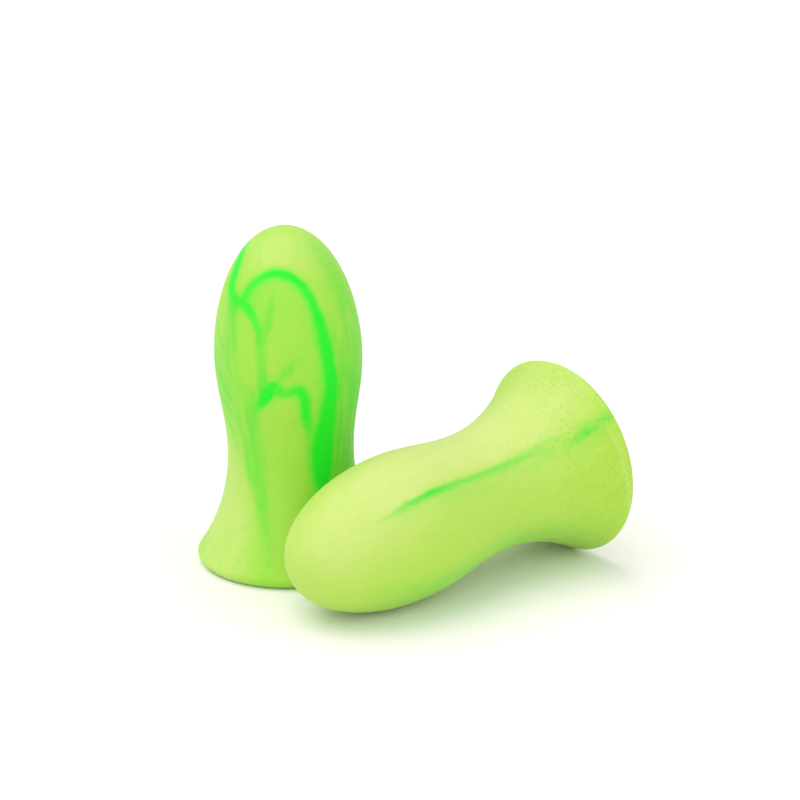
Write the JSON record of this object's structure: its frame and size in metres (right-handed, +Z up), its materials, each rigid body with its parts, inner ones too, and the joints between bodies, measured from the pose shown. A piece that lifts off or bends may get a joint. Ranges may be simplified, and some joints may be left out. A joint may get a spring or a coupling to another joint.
{
  "type": "foam ear plugs",
  "caption": "Loose bell-shaped foam ear plugs with a rounded head, narrow waist and flared flat base; the pair is laid out with the first standing and the second lying beside it.",
  "frame": {"origin": "centre of the standing plug's flat base face, on the surface that the pair rests on", "axes": "+Z up along the standing plug's axis; +X towards the lying plug's base; -Y is the side that the lying plug's tip points to"},
  "size_m": [0.0336, 0.0238, 0.0264],
  "materials": {
    "upright_foam": "matt moulded polyurethane foam, yellow-green, with vivid green pigment marbled through it",
    "lying_foam": "matt moulded polyurethane foam, pale yellow-green, with a thin vivid green pigment streak"
  },
  "bodies": {
    "upright_plug": {"upright_plug": "upright_foam"},
    "lying_plug": {"lying_plug": "lying_foam"}
  },
  "joints": [
    {"name": "lying_plug_lift", "type": "slide", "parent": "upright_plug", "child": "lying_plug", "axis": [0, 0, 1], "range_m": [0, 0.04]}
  ]
}
